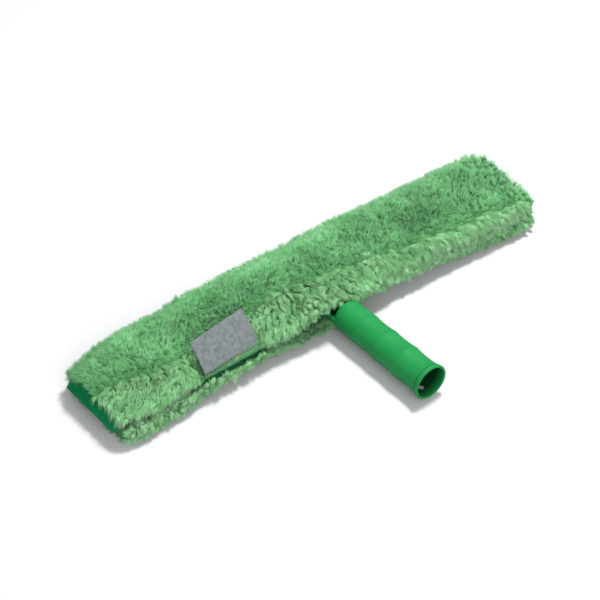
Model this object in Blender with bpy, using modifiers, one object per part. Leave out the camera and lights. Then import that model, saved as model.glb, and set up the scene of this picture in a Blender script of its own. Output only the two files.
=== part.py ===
"""Window washer: a plastic T-bar with a long-pile washing sleeve pulled over its crossbar.

The crossbar lies along X, the handle points along -Y and the washer rests on Z = 0.
The origin is on the table, under the place where the handle's axis crosses the crossbar's
long middle line. Lengths are in metres.
"""
import math

import bmesh
import bpy
from mathutils import Matrix, Vector

# ---- driving dimensions -------------------------------------------------------------------
BAR_LEFT = 0.225              # crossbar from the handle's axis to its ends: the 45 cm size
BAR_RIGHT = 0.218
BAR_WIDTH = 0.064
BAR_THICKNESS = 0.007
BAR_AXIS_Z = 0.0178           # height of the crossbar's and the handle's middle plane
BAR_END_SLOPE = 0.0064        # run of the ramp that leads the sleeve on, at each end
BAR_END_LIP = 0.0006          # thickness left at the ramp's foot
BAR_EDGE = 0.0006
TOUCH_GAP = 0.0003            # gap kept between pieces that touch

WATER_SLOTS_PER_ROW = 16
WATER_SLOT_PITCH = 0.026
WATER_SLOT_LENGTH = 0.020
WATER_SLOT_WIDTH = 0.013
WATER_SLOT_ROW_Y = 0.0125
WATER_SLOT_CORNER = 0.003
HUB_HALF_LENGTH = 0.034       # stretch of the crossbar left solid around the handle's tongue

TONGUE_WIDTH = 0.026
TONGUE_DEPTH = 0.030          # how far the tongue reaches into the crossbar
TONGUE_THICKNESS = 0.003
PIN_RADIUS = 0.002
PIN_SPACING = 0.014
PIN_INSET = 0.0001            # how far a pin's ends lie below the crossbar's faces
PIN_PLACE = 0.6               # share of the tongue's depth at which the pins pass through

NECK_WIDTH = 0.028
NECK_THICKNESS = 0.0046
NECK_EDGE = 0.0008
TONGUE_EDGE = 0.0006
GRIP_START = 0.0406           # distances along the handle, from the crossbar's middle
GRIP_END = 0.1468
RING_PLACES = (0.0673, 0.0915, 0.1157)
RING_RADIUS_FIRST = 0.01435
RING_RADIUS_LAST = 0.01487
WAIST_DEPTH = 0.0008
RING_GROOVE_WIDTH = 0.0012    # the fine line on the mouth side of each ring
RING_GROOVE_DEPTH = 0.0004
SHOULDER_RADIUS = 0.005
FLANGE_RADIUS = 0.01576
FLANGE_LENGTH = 0.0052
FLANGE_UNDERCUT = 0.0007
FLANGE_ROLL = 0.0011          # radius of the flange's rounded outer edge
MOUTH_CHAMFER = 0.0006
BORE_MOUTH_RADIUS = 0.0136
BORE_END_RADIUS = 0.0118
BORE_END = 0.0560
BORE_END_CHAMFER = 0.002
HANG_HOLE_RADIUS = 0.0024
HANG_HOLE_PLACE = 0.1357
TURNED_STEPS = 48

SLEEVE_START = -0.217         # open mouth, where the crossbar's end shows
SLEEVE_END = 0.222
CAP_END = 0.2320
SLEEVE_FRONT = -0.0364
SLEEVE_BACK = 0.0480
SLEEVE_TOP = 0.0370
UPPER_SEAM_Y = -0.0059
UPPER_SEAM_Z = 0.0364
LAP_CORNER_Z = 0.0255
LAP_RADIUS = 0.0045
POCKET_CLEARANCE = 0.0004
POCKET_FRONT = -0.0326
POCKET_BACK = 0.0324
SLIT_END = 0.017              # the slit runs from the mouth to here, past the neck
HEM_THICKNESS = 0.0008
HEM_HALF_WIDTH = 0.031
HEM_HEIGHT = 0.003
HEM_PROUD = 0.0004            # how far the slit's tapes show past the pile's front
HEM_INSET = 0.001
BARTACK_LENGTH = 0.0022
BARTACK_THICKNESS = 0.0007
BARTACK_OVERLAP = 0.001
SLIT_CUT_CLEARANCE = 0.0011   # the slit's room for its tapes, above and below the neck
PANEL_EDGE = 0.0015           # rounding of the panels' ends
CAP_EDGE = 0.0040
CAP_INSET = 0.001
SEAM_RADIUS = 0.0018
END_SEAM_INSET = 0.00055

LABEL_LENGTH = 0.060
LABEL_DEPTH = 0.038
LABEL_MIDDLE_X = -0.109
LABEL_THICKNESS = 0.0008
LABEL_HINGE_Z = 0.0216

STITCH_PITCH = 0.005
STITCH_SWING = 0.0002
STITCH_INSET = 0.003          # how far short of the panels' ends the seams' threads stop
THREAD_RADIUS = 0.00040
HEAVY_THREAD_RADIUS = 0.00045
LABEL_THREAD_RADIUS = 0.0002
LABEL_STITCH_HEIGHT = 0.0018

BAR_BOTTOM = BAR_AXIS_Z - BAR_THICKNESS / 2
BAR_TOP = BAR_AXIS_Z + BAR_THICKNESS / 2
POCKET_FLOOR = BAR_BOTTOM - POCKET_CLEARANCE
POCKET_CEILING = BAR_TOP + POCKET_CLEARANCE
FLANGE_START = GRIP_END - FLANGE_LENGTH
SEAM_LOW = BAR_AXIS_Z - TOUCH_GAP / 2
SEAM_HIGH = BAR_AXIS_Z + TOUCH_GAP / 2
SLIT_LOW = BAR_AXIS_Z - NECK_THICKNESS / 2 - TOUCH_GAP
SLIT_HIGH = BAR_AXIS_Z + NECK_THICKNESS / 2 + TOUCH_GAP

COLOURS = {                   # colour (linear RGB), roughness
    "plastic": ((0.030, 0.330, 0.095), 0.38),
    "pile": ((0.130, 0.400, 0.140), 0.95),
    "tape": ((0.060, 0.250, 0.080), 0.85),
    "label": ((0.270, 0.310, 0.340), 0.80),
    "thread": ((0.050, 0.220, 0.070), 0.70),
    "pale_thread": ((0.550, 0.550, 0.450), 0.70),
    "steel": ((0.550, 0.560, 0.580), 0.30),
}


# ---- scene helpers ------------------------------------------------------------------------
def clear_scene():
    for obj in list(bpy.data.objects):
        bpy.data.objects.remove(obj, do_unlink=True)


def make_collection(name):
    collection = bpy.data.collections.new(name)
    bpy.context.scene.collection.children.link(collection)
    return collection


def make_material(name):
    colour, roughness = COLOURS[name]
    material = bpy.data.materials.new(name)
    material.use_nodes = True
    shader = material.node_tree.nodes["Principled BSDF"]
    shader.inputs["Base Color"].default_value = (*colour, 1.0)
    shader.inputs["Roughness"].default_value = roughness
    shader.inputs["Metallic"].default_value = 1.0 if name == "steel" else 0.0
    return material


def add_object(name, data, collection, material=None):
    obj = bpy.data.objects.new(name, data)
    collection.objects.link(obj)
    if material is not None:
        data.materials.append(material)
    return obj


def mesh_from_bmesh(name, bm):
    mesh = bpy.data.meshes.new(name)
    bm.to_mesh(mesh)
    bm.free()
    return mesh


def box_mesh(name, low, high):
    """A box between two corners, with its own origin at its middle; returns mesh and middle."""
    size = Vector(high) - Vector(low)
    bm = bmesh.new()
    bmesh.ops.create_cube(bm, size=1.0)
    bmesh.ops.scale(bm, vec=size, verts=bm.verts)
    return mesh_from_bmesh(name, bm), (Vector(high) + Vector(low)) / 2


def add_box(name, low, high, collection, material=None):
    mesh, middle = box_mesh(name, low, high)
    obj = add_object(name, mesh, collection, material)
    obj.location = middle
    return obj


def add_bevel(obj, width, segments=2, angle=40):
    bevel = obj.modifiers.new("edges", "BEVEL")
    bevel.width = width
    bevel.segments = segments
    bevel.limit_method = "ANGLE"
    bevel.angle_limit = math.radians(angle)
    return bevel


def add_boolean(obj, cutter, operation):
    boolean = obj.modifiers.new(cutter.name, "BOOLEAN")
    boolean.operation = operation
    boolean.object = cutter
    boolean.solver = "EXACT"
    return boolean


def mark_cutter(obj):
    obj.hide_render = True
    obj.display_type = "WIRE"
    return obj


# ---- outlines -----------------------------------------------------------------------------
def fillet(corner, before, after, radius, steps):
    """The points of the arc that rounds a corner of an outline."""
    corner, before, after = Vector(corner), Vector(before), Vector(after)
    to_before = (before - corner).normalized()
    to_after = (after - corner).normalized()
    half = to_before.angle(to_after) / 2
    centre = corner + (to_before + to_after).normalized() * (radius / math.sin(half))
    start = corner + to_before * (radius / math.tan(half)) - centre
    end = corner + to_after * (radius / math.tan(half)) - centre
    turn = start.angle_signed(end)
    return [centre + Matrix.Rotation(-turn * i / steps, 2) @ start for i in range(steps + 1)]


def rounded_outline(corners, closed=True, steps=5):
    """Corners given as (y, z, radius) turned into points, with an arc where radius > 0."""
    points = []
    count = len(corners)
    for i, (y, z, radius) in enumerate(corners):
        at_end = not closed and i in (0, count - 1)
        if radius > 0 and not at_end:
            before = corners[i - 1][:2]
            after = corners[(i + 1) % count][:2]
            points += fillet((y, z), before, after, radius, steps)
        else:
            points.append(Vector((y, z)))
    return points


def section_mesh(name, outline, x_low, x_high):
    """A closed outline in the YZ plane, extruded along X from x_low to x_high."""
    curve = bpy.data.curves.new(name + "_outline", "CURVE")
    curve.dimensions = "2D"
    curve.fill_mode = "BOTH"
    curve.extrude = (x_high - x_low) / 2
    spline = curve.splines.new("POLY")
    spline.points.add(len(outline) - 1)
    for point, place in zip(spline.points, outline):
        point.co = (place[0], place[1], 0.0, 1.0)
    spline.use_cyclic_u = True
    holder = bpy.data.objects.new(name + "_outline", curve)
    bpy.context.scene.collection.objects.link(holder)
    evaluated = holder.evaluated_get(bpy.context.evaluated_depsgraph_get())
    mesh = bpy.data.meshes.new_from_object(evaluated)
    bpy.data.objects.remove(holder, do_unlink=True)
    bpy.data.curves.remove(curve)
    bm = bmesh.new()
    bm.from_mesh(mesh)
    bmesh.ops.remove_doubles(bm, verts=bm.verts, dist=1e-6)
    bmesh.ops.dissolve_limit(bm, angle_limit=0.001, verts=bm.verts, edges=bm.edges)
    # the curve's x, y and z become the world's y, z and x
    turn = Matrix(((0, 0, 1), (1, 0, 0), (0, 1, 0))).to_4x4()
    bmesh.ops.transform(bm, matrix=turn, verts=bm.verts)
    bmesh.ops.recalc_face_normals(bm, faces=bm.faces)
    bm.to_mesh(mesh)
    bm.free()
    mesh.name = name
    return mesh


def round_ends(mesh, width, segments, both_ends):
    """Bevel the edges round an extruded section's end faces, or round its +X end alone."""
    bm = bmesh.new()
    bm.from_mesh(mesh)
    half = max(v.co.x for v in bm.verts)
    rim = []
    for edge in bm.edges:
        x_first, x_second = (v.co.x for v in edge.verts)
        on_high = min(x_first, x_second) > half - 1e-5
        on_low = max(x_first, x_second) < 1e-5 - half
        if on_high or (both_ends and on_low):
            rim.append(edge)
    bmesh.ops.bevel(bm, geom=rim, offset=width, segments=segments, affect="EDGES", profile=0.5)
    bm.to_mesh(mesh)
    bm.free()


def add_section(name, corners, x_low, x_high, collection, material, end_width=PANEL_EDGE,
                end_segments=2, both_ends=True):
    mesh = section_mesh(name, rounded_outline(corners), x_low, x_high)
    obj = add_object(name, mesh, collection, material)
    obj.location.x = (x_low + x_high) / 2
    round_ends(mesh, end_width, end_segments, both_ends)
    mesh.shade_smooth()
    mesh.set_sharp_from_angle(angle=math.radians(40))
    return obj


def add_thread(name, points, radius, collection, material, closed=False):
    """A sewing thread through the points, as a thin tube."""
    curve = bpy.data.curves.new(name, "CURVE")
    curve.dimensions = "3D"
    curve.bevel_depth = radius
    curve.bevel_resolution = 0
    curve.use_fill_caps = True
    spline = curve.splines.new("POLY")
    spline.points.add(len(points) - 1)
    for point, place in zip(spline.points, points):
        point.co = (*place, 1.0)
    spline.use_cyclic_u = closed
    return add_object(name, curve, collection, material)


def stitch_line(x_low, x_high, y, z, swing):
    """Points of a running stitch along X that swings to and fro by the vector swing."""
    count = int((x_high - x_low) / STITCH_PITCH) * 2
    points = []
    for i in range(count + 1):
        side = 1 if i % 2 else -1
        x = x_low + (x_high - x_low) * i / count
        points.append((x, y + side * swing[0], z + side * swing[1]))
    return points


# ---- T-bar --------------------------------------------------------------------------------
def water_slot_cutter(cutters):
    """All the crossbar's water-holding slots as one cutter: two rows of rounded windows."""
    bm = bmesh.new()
    middle = (WATER_SLOTS_PER_ROW - 1) / 2
    for i in range(WATER_SLOTS_PER_ROW):
        x = (i - middle) * WATER_SLOT_PITCH
        if abs(x) < HUB_HALF_LENGTH:
            continue
        for side in (-1, 1):
            corners = bmesh.ops.create_cube(bm, size=1.0)["verts"]
            size = Vector((WATER_SLOT_LENGTH, WATER_SLOT_WIDTH, BAR_THICKNESS * 2))
            bmesh.ops.scale(bm, vec=size, verts=corners)
            place = (x, side * WATER_SLOT_ROW_Y, BAR_AXIS_Z)
            bmesh.ops.translate(bm, vec=place, verts=corners)
    upright = [e for e in bm.edges if abs((e.verts[0].co - e.verts[1].co).normalized().z) > 0.9]
    bmesh.ops.bevel(bm, geom=upright, offset=WATER_SLOT_CORNER, segments=3, affect="EDGES",
                    profile=0.5)
    return mark_cutter(add_object("water_slots", mesh_from_bmesh("water_slots", bm), cutters))


def upright_cylinder(name, x, y, low, high, radius, collection, material=None, steps=24):
    bm = bmesh.new()
    bmesh.ops.create_cone(bm, cap_ends=True, segments=steps, radius1=radius, radius2=radius,
                          depth=high - low)
    obj = add_object(name, mesh_from_bmesh(name, bm), collection, material)
    obj.location = (x, y, (low + high) / 2)
    return obj


def tongue_pin_places():
    y = -BAR_WIDTH / 2 + TONGUE_DEPTH * PIN_PLACE
    return [("left", -PIN_SPACING / 2, y), ("right", PIN_SPACING / 2, y)]


def crossbar_blank():
    """A flat bar whose top face ramps down to a thin lip at each end."""
    left, right = -BAR_LEFT, BAR_RIGHT
    lip_top = BAR_BOTTOM + BAR_END_LIP
    outline = [(left, BAR_BOTTOM), (right, BAR_BOTTOM), (right, lip_top),
               (right - BAR_END_SLOPE, BAR_TOP), (left + BAR_END_SLOPE, BAR_TOP), (left, lip_top)]
    bm = bmesh.new()
    front = [bm.verts.new((x, -BAR_WIDTH / 2, z)) for x, z in outline]
    back = [bm.verts.new((x, BAR_WIDTH / 2, z)) for x, z in outline]
    bm.faces.new(front)
    bm.faces.new(back[::-1])
    for i, low in enumerate(front):
        after = (i + 1) % len(front)
        bm.faces.new((low, back[i], back[after], front[after]))
    bmesh.ops.recalc_face_normals(bm, faces=bm.faces)
    return mesh_from_bmesh("crossbar", bm)


def make_crossbar(parts, cutters, plastic):
    bar = add_object("crossbar", crossbar_blank(), parts, plastic)
    add_bevel(bar, BAR_EDGE, 2)
    add_boolean(bar, water_slot_cutter(cutters), "DIFFERENCE")
    half_width = TONGUE_WIDTH / 2 + TOUCH_GAP
    half_height = TONGUE_THICKNESS / 2 + TOUCH_GAP
    socket = add_box("tongue_socket",
                     (-half_width, -BAR_WIDTH, BAR_AXIS_Z - half_height),
                     (half_width, -BAR_WIDTH / 2 + TONGUE_DEPTH + TOUCH_GAP,
                      BAR_AXIS_Z + half_height), cutters)
    add_boolean(bar, mark_cutter(socket), "DIFFERENCE")
    for side, x, y in tongue_pin_places():
        hole = upright_cylinder("crossbar_pin_hole_" + side, x, y, 0.0, 2 * BAR_TOP,
                                PIN_RADIUS + TOUCH_GAP, cutters)
        add_boolean(bar, mark_cutter(hole), "DIFFERENCE")
    return bar


def grip_radius(place):
    """The grip's outer radius: crests at the rings and shallow waists between them."""
    crests = [(GRIP_START + SHOULDER_RADIUS, RING_RADIUS_FIRST - WAIST_DEPTH * 0.4)]
    span = RING_PLACES[-1] - RING_PLACES[0]
    for ring in RING_PLACES:
        share = (ring - RING_PLACES[0]) / span
        crests.append((ring, RING_RADIUS_FIRST + share * (RING_RADIUS_LAST - RING_RADIUS_FIRST)))
    crests.append((GRIP_END - FLANGE_LENGTH, RING_RADIUS_LAST - WAIST_DEPTH * 0.2))
    for (start, r_start), (end, r_end) in zip(crests, crests[1:]):
        if start <= place <= end:
            share = (place - start) / (end - start)
            depth = WAIST_DEPTH * (0.35 if start < RING_PLACES[0] else 1.0)
            # the waist is a hanging arc, so the crests stay crisp
            return r_start + share * (r_end - r_start) - depth * 4 * share * (1 - share)
    return crests[-1][1]


def shoulder_points(steps=5):
    """(radius, distance from the crossbar) over the grip's rounded shoulder."""
    shoulder_end = GRIP_START + SHOULDER_RADIUS
    flat = grip_radius(shoulder_end) - SHOULDER_RADIUS
    points = [(0.0, GRIP_START)]
    for i in range(steps + 1):
        angle = math.radians(90 * i / steps)
        points.append((flat + SHOULDER_RADIUS * math.sin(angle),
                       shoulder_end - SHOULDER_RADIUS * math.cos(angle)))
    return points


def ring_points(steps=6):
    """The waists between the rings, with a fine groove on the mouth side of each ring."""
    points = []
    start = GRIP_START + SHOULDER_RADIUS
    for end in (*RING_PLACES, FLANGE_START):
        for i in range(1, steps + 1):
            place = start + (end - start) * i / steps
            points.append((grip_radius(place), place))
        if end != FLANGE_START:
            start = end + RING_GROOVE_WIDTH
            points.append((grip_radius(end) - RING_GROOVE_DEPTH, end + RING_GROOVE_WIDTH * 0.4))
            points.append((grip_radius(start), start))
    return points


def flange_points():
    """The narrow undercut, then the rolled flange out to the mouth's face."""
    points = [(grip_radius(FLANGE_START) - FLANGE_UNDERCUT, FLANGE_START + FLANGE_UNDERCUT),
              (FLANGE_RADIUS - FLANGE_ROLL / 4, FLANGE_START + FLANGE_LENGTH / 3)]
    for angle in (0, 30, 60, 90):
        turn = math.radians(angle)
        points.append((FLANGE_RADIUS - FLANGE_ROLL * (1 - math.cos(turn)),
                       GRIP_END - FLANGE_ROLL * (1 - math.sin(turn))))
    return points


def bore_points():
    """Over the mouth's face and up the bore to its blind end."""
    return [(BORE_MOUTH_RADIUS + MOUTH_CHAMFER, GRIP_END),
            (BORE_MOUTH_RADIUS, GRIP_END - MOUTH_CHAMFER),
            (BORE_END_RADIUS, BORE_END + BORE_END_CHAMFER),
            (BORE_END_RADIUS - BORE_END_CHAMFER, BORE_END),
            (0.0, BORE_END)]


def handle_profile():
    """(radius, distance from the crossbar) along the outside, round the rim and up the bore."""
    return shoulder_points() + ring_points() + flange_points() + bore_points()


def make_handle(parts, cutters, plastic):
    """The hollow grip, its neck web and the tongue that plugs into the crossbar."""
    profile = handle_profile()
    mesh = bpy.data.meshes.new("handle")
    mesh.from_pydata([(radius, 0.0, -place) for radius, place in profile],
                     [(i, i + 1) for i in range(len(profile) - 1)], [])
    handle = add_object("handle", mesh, parts, plastic)
    handle.location.z = BAR_AXIS_Z
    handle.rotation_euler.x = math.radians(-90)
    screw = handle.modifiers.new("turned", "SCREW")
    screw.axis = "Z"
    screw.steps = TURNED_STEPS
    screw.render_steps = TURNED_STEPS
    screw.use_merge_vertices = True
    screw.merge_threshold = 0.00001
    screw.use_smooth_shade = True
    inner_end = -BAR_WIDTH / 2 + TONGUE_DEPTH
    neck = add_box("neck_web",
                   (-NECK_WIDTH / 2, -GRIP_START - SHOULDER_RADIUS, BAR_AXIS_Z - NECK_THICKNESS / 2),
                   (NECK_WIDTH / 2, -BAR_WIDTH / 2 - TOUCH_GAP, BAR_AXIS_Z + NECK_THICKNESS / 2),
                   cutters)
    add_bevel(neck, NECK_EDGE, 2)
    add_boolean(handle, mark_cutter(neck), "UNION")
    tongue = add_box("tongue",
                     (-TONGUE_WIDTH / 2, -BAR_WIDTH / 2 - TOUCH_GAP * 6,
                      BAR_AXIS_Z - TONGUE_THICKNESS / 2),
                     (TONGUE_WIDTH / 2, inner_end, BAR_AXIS_Z + TONGUE_THICKNESS / 2), cutters)
    add_bevel(tongue, TONGUE_EDGE, 1)
    add_boolean(handle, mark_cutter(tongue), "UNION")
    for side, x, y in tongue_pin_places():
        hole = upright_cylinder("tongue_pin_hole_" + side, x, y, 0.0, 2 * BAR_TOP,
                                PIN_RADIUS + TOUCH_GAP, cutters)
        add_boolean(handle, mark_cutter(hole), "DIFFERENCE")
    hang_hole = upright_cylinder("hang_hole", 0.0, -HANG_HOLE_PLACE, -BAR_AXIS_Z, BAR_AXIS_Z,
                                 HANG_HOLE_RADIUS, cutters)
    add_boolean(handle, mark_cutter(hang_hole), "DIFFERENCE")
    return handle


def make_pins(parts, steel):
    for side, x, y in tongue_pin_places():
        pin = upright_cylinder("fixing_pin_" + side, x, y, BAR_BOTTOM + PIN_INSET,
                               BAR_TOP - PIN_INSET, PIN_RADIUS, parts, steel)
        pin.data.shade_smooth()
        pin.data.set_sharp_from_angle(angle=math.radians(35))


# ---- washing sleeve -----------------------------------------------------------------------
def slit_cutter(cutters):
    """The slit that the neck passes through, from the sleeve's mouth to just past the neck."""
    low = (2 * SLEEVE_START, 2 * SLEEVE_FRONT, SLIT_LOW - SLIT_CUT_CLEARANCE)
    high = (SLIT_END, POCKET_FRONT + 2 * TOUCH_GAP, SLIT_HIGH + SLIT_CUT_CLEARANCE)
    return mark_cutter(add_box("slit", low, high, cutters))


def sleeve_section(inset):
    """The whole sleeve's outer outline, drawn in by a small inset."""
    return [
        (SLEEVE_FRONT + inset, inset, 0.008),
        (SLEEVE_BACK - inset, inset, 0.010),
        (SLEEVE_BACK - inset, SLEEVE_TOP - inset, 0.013),
        (UPPER_SEAM_Y, UPPER_SEAM_Z - inset, 0),
        (SLEEVE_FRONT + inset, LAP_CORNER_Z - inset, LAP_RADIUS),
    ]


def make_top_panel(parts, pile):
    corners = [
        (UPPER_SEAM_Y + TOUCH_GAP, POCKET_CEILING, 0),
        (POCKET_BACK, POCKET_CEILING, 0),
        (POCKET_BACK, SEAM_HIGH, 0),
        (SLEEVE_BACK, SEAM_HIGH, SEAM_RADIUS),
        (SLEEVE_BACK, SLEEVE_TOP, 0.013),
        (UPPER_SEAM_Y + TOUCH_GAP, UPPER_SEAM_Z, 0.003),
    ]
    return add_section("top_pile_panel", corners, SLEEVE_START, SLEEVE_END, parts, pile)


def make_front_panel(parts, cutters, pile):
    corners = [
        (POCKET_FRONT, POCKET_CEILING, 0),
        (UPPER_SEAM_Y - TOUCH_GAP, POCKET_CEILING, 0),
        (UPPER_SEAM_Y - TOUCH_GAP, UPPER_SEAM_Z, 0.003),
        (SLEEVE_FRONT, LAP_CORNER_Z, LAP_RADIUS),
        (SLEEVE_FRONT, SEAM_HIGH, SEAM_RADIUS),
        (POCKET_FRONT, SEAM_HIGH, 0),
    ]
    panel = add_section("front_pile_panel", corners, SLEEVE_START, SLEEVE_END, parts, pile)
    add_boolean(panel, slit_cutter(cutters), "DIFFERENCE")
    return panel


def make_bottom_panel(parts, cutters, pile):
    corners = [
        (SLEEVE_FRONT, 0.0, 0.008),
        (SLEEVE_BACK, 0.0, 0.010),
        (SLEEVE_BACK, SEAM_LOW, SEAM_RADIUS),
        (POCKET_BACK, SEAM_LOW, 0),
        (POCKET_BACK, POCKET_FLOOR, 0),
        (POCKET_FRONT, POCKET_FLOOR, 0),
        (POCKET_FRONT, SEAM_LOW, 0),
        (SLEEVE_FRONT, SEAM_LOW, SEAM_RADIUS),
    ]
    panel = add_section("bottom_pile_panel", corners, SLEEVE_START, SLEEVE_END, parts, pile)
    add_boolean(panel, slit_cutter(cutters), "DIFFERENCE")
    return panel


def make_end_cap(parts, pile):
    """The pile patch that closes the sleeve's right-hand end."""
    return add_section("end_cap_panel", sleeve_section(CAP_INSET), SLEEVE_END + TOUCH_GAP,
                       CAP_END, parts, pile, CAP_EDGE, 3, both_ends=False)


def make_hems(parts, tape):
    """Tapes that bind the raw edges of the mouth and of the slit."""
    face = SLEEVE_START - TOUCH_GAP
    add_box("mouth_hem_top", (face - HEM_THICKNESS, -HEM_HALF_WIDTH, POCKET_CEILING),
            (face, HEM_HALF_WIDTH, POCKET_CEILING + HEM_HEIGHT), parts, tape)
    add_box("mouth_hem_bottom", (face - HEM_THICKNESS, -HEM_HALF_WIDTH, POCKET_FLOOR - HEM_HEIGHT),
            (face, HEM_HALF_WIDTH, POCKET_FLOOR), parts, tape)
    front, back = SLEEVE_FRONT - HEM_PROUD, POCKET_FRONT
    start, end = SLEEVE_START + HEM_INSET, SLIT_END - TOUCH_GAP
    add_box("slit_hem_upper", (start, front, SLIT_HIGH),
            (end, back, SLIT_HIGH + HEM_THICKNESS), parts, tape)
    add_box("slit_hem_lower", (start, front, SLIT_LOW - HEM_THICKNESS),
            (end, back, SLIT_LOW), parts, tape)


def make_bartack(parts, thread):
    """The dense block of stitches that stops the slit from tearing past the neck."""
    face = SLEEVE_FRONT - TOUCH_GAP
    start = SLIT_END + 2 * TOUCH_GAP
    low = (start, face - BARTACK_THICKNESS, SLIT_LOW - BARTACK_OVERLAP)
    high = (start + BARTACK_LENGTH, face, SLIT_HIGH + BARTACK_OVERLAP)
    add_box("slit_bartack", low, high, parts, thread)


def make_seams(parts, thread):
    first, last = SLEEVE_START + STITCH_INSET, SLEEVE_END - STITCH_INSET
    past_bartack = SLIT_END + 2 * BARTACK_LENGTH
    upright, level = (0.0, STITCH_SWING), (STITCH_SWING, 0.0)
    lines = (("upper", first, UPPER_SEAM_Y, UPPER_SEAM_Z - 3 * STITCH_SWING, upright,
              HEAVY_THREAD_RADIUS),
             ("front", past_bartack, SLEEVE_FRONT, BAR_AXIS_Z, level, THREAD_RADIUS),
             ("back", first, SLEEVE_BACK, BAR_AXIS_Z, level, THREAD_RADIUS))
    for side, start, y, z, swing, radius in lines:
        seam = stitch_line(start, last, y, z, swing)
        add_thread(side + "_seam_stitching", seam, radius, parts, thread)
    ring = rounded_outline(sleeve_section(END_SEAM_INSET), steps=8)
    x = SLEEVE_END + TOUCH_GAP / 2
    points = [(x, place[0], place[1]) for place in ring]
    add_thread("end_seam_stitching", points, HEAVY_THREAD_RADIUS, parts, thread, closed=True)


def label_path():
    """The label's middle line in its section: up the sewn tab, then back over the front panel."""
    clear = TOUCH_GAP + LABEL_THICKNESS / 2
    slope = math.atan2(UPPER_SEAM_Z - LAP_CORNER_Z, UPPER_SEAM_Y - SLEEVE_FRONT)
    y = SLEEVE_FRONT - clear
    corner_z = LAP_CORNER_Z + clear / math.cos(slope) - clear * math.tan(slope)
    end = (y + 2 * LABEL_DEPTH * math.cos(slope), corner_z + 2 * LABEL_DEPTH * math.sin(slope), 0)
    path = rounded_outline([(y, LABEL_HINGE_Z, 0), (y, corner_z, LAP_RADIUS + clear), end],
                           closed=False, steps=8)
    length = 0.0
    for i in range(1, len(path)):
        step = (path[i] - path[i - 1]).length
        if length + step > LABEL_DEPTH:
            share = (LABEL_DEPTH - length) / step
            return path[:i] + [path[i - 1].lerp(path[i], share)]
        length += step
    return path


def make_label(parts, label, pale_thread):
    """The care label: its origin is on the sewn edge, which it flips about."""
    path = label_path()
    hinge_y, hinge_z = path[0]
    bm = bmesh.new()
    rows = []
    for place in path:
        row = [bm.verts.new((x, place[0] - hinge_y, place[1] - hinge_z))
               for x in (-LABEL_LENGTH / 2, LABEL_LENGTH / 2)]
        rows.append(row)
    for low, high in zip(rows, rows[1:]):
        bm.faces.new((low[0], low[1], high[1], high[0]))
    obj = add_object("care_label", mesh_from_bmesh("care_label", bm), parts, label)
    obj.location = (LABEL_MIDDLE_X, hinge_y, hinge_z)
    thick = obj.modifiers.new("thickness", "SOLIDIFY")
    thick.thickness = LABEL_THICKNESS
    thick.offset = 0.0
    thick.use_even_offset = True
    half = LABEL_LENGTH / 2 - STITCH_INSET
    y = hinge_y - LABEL_THICKNESS / 2 - TOUCH_GAP - LABEL_THREAD_RADIUS
    seam = stitch_line(LABEL_MIDDLE_X - half, LABEL_MIDDLE_X + half, y,
                       hinge_z + LABEL_STITCH_HEIGHT, (0.0, 2 * STITCH_SWING))
    add_thread("label_stitching", seam, LABEL_THREAD_RADIUS, parts, pale_thread)


def build():
    clear_scene()
    parts = make_collection("window_washer")
    cutters = make_collection("cutters")
    materials = {name: make_material(name) for name in COLOURS}
    make_crossbar(parts, cutters, materials["plastic"])
    make_handle(parts, cutters, materials["plastic"])
    make_pins(parts, materials["steel"])
    make_top_panel(parts, materials["pile"])
    make_front_panel(parts, cutters, materials["pile"])
    make_bottom_panel(parts, cutters, materials["pile"])
    make_end_cap(parts, materials["pile"])
    make_hems(parts, materials["tape"])
    make_bartack(parts, materials["thread"])
    make_seams(parts, materials["thread"])
    make_label(parts, materials["label"], materials["pale_thread"])


build()
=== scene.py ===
"""Looks of the window washer: a long-pile microfibre sleeve on a moulded plastic T-bar.

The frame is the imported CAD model. Everything is in metres, in the CAD's own frame: X along the
crossbar with the open mouth at -X, the handle along -Y, and Z up from the table.
"""
import math
from typing import NamedTuple

import bmesh
import bpy
import numpy as np
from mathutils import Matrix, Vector


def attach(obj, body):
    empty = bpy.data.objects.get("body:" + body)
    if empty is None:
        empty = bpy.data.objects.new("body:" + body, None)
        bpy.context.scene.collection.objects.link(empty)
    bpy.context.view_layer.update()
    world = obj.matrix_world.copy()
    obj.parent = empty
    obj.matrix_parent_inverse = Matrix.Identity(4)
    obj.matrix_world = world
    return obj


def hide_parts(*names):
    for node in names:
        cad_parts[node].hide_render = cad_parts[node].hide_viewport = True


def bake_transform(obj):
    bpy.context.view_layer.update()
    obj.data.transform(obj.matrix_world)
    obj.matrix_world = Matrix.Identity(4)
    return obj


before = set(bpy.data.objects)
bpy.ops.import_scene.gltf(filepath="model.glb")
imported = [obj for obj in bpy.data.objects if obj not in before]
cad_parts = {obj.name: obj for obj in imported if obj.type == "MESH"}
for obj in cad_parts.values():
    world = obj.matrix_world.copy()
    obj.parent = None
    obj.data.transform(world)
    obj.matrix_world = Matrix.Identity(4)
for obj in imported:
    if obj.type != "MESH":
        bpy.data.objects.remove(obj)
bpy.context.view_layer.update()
MM = 0.001
SEED = 4711

# ---- camera, light and floor
AZIMUTH, ELEVATION, DISTANCE = -38.84, 41.18, 1.51759
LOOK_AT = Vector((-0.0057, 0.01094, 0.0))
LENS_MM, SENSOR_MM = 108.0, 36.0
# Area lights that look at the origin: name, place, watts, size in metres.
LIGHTS = (("key", (0.50, 0.08, 1.60), 43.0, 0.28), ("fill", (-1.0, -2.2, 1.5), 62.0, 2.0))
SKY_STRENGTH = 0.60
FLOOR_COLOUR = (0.47, 0.47, 0.48, 1.0)
FLOOR_REACH = 6.0

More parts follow.
